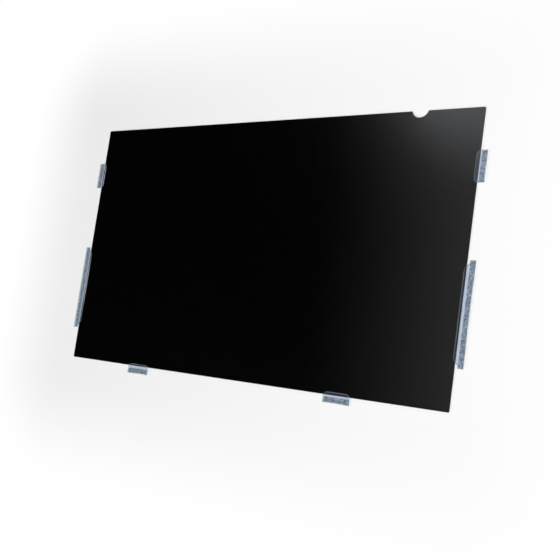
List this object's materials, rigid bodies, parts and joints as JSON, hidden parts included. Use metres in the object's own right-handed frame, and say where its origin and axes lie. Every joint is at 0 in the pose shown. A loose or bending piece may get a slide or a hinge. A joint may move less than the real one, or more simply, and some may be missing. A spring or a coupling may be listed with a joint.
{
  "type": "monitor privacy filter",
  "caption": "Wide, thin dark louvred sheet with a finger notch, held flat by clear stick-on side and bottom tabs so that a screen can only be read from in front.",
  "frame": {"origin": "centre of the sheet's back face", "axes": "+X to the viewer's right along the sheet's width, +Y up the screen to the edge with the finger notch, +Z out of the sheet's front face; the sheet lies face up"},
  "size_m": [0.5488, 0.3082, 0.0017],
  "materials": {
    "louvre_sheet": "smooth anti-glare front over fine vertical black louvres",
    "clear_plastic": "clear, faintly blue, with bright cut edges",
    "adhesive": "translucent blue grey, mottled where it has wetted out"
  },
  "bodies": {
    "root": {"filter_sheet": "louvre_sheet", "left_upper_tab": "clear_plastic", "left_upper_adhesive": "adhesive", "left_guide": "clear_plastic", "left_guide_adhesive": "adhesive", "right_upper_tab": "clear_plastic", "right_upper_adhesive": "adhesive", "right_guide": "clear_plastic", "right_guide_adhesive": "adhesive", "bottom_left_tab": "clear_plastic", "bottom_left_adhesive": "adhesive", "bottom_right_tab": "clear_plastic", "bottom_right_adhesive": "adhesive"}
  },
  "joints": []
}
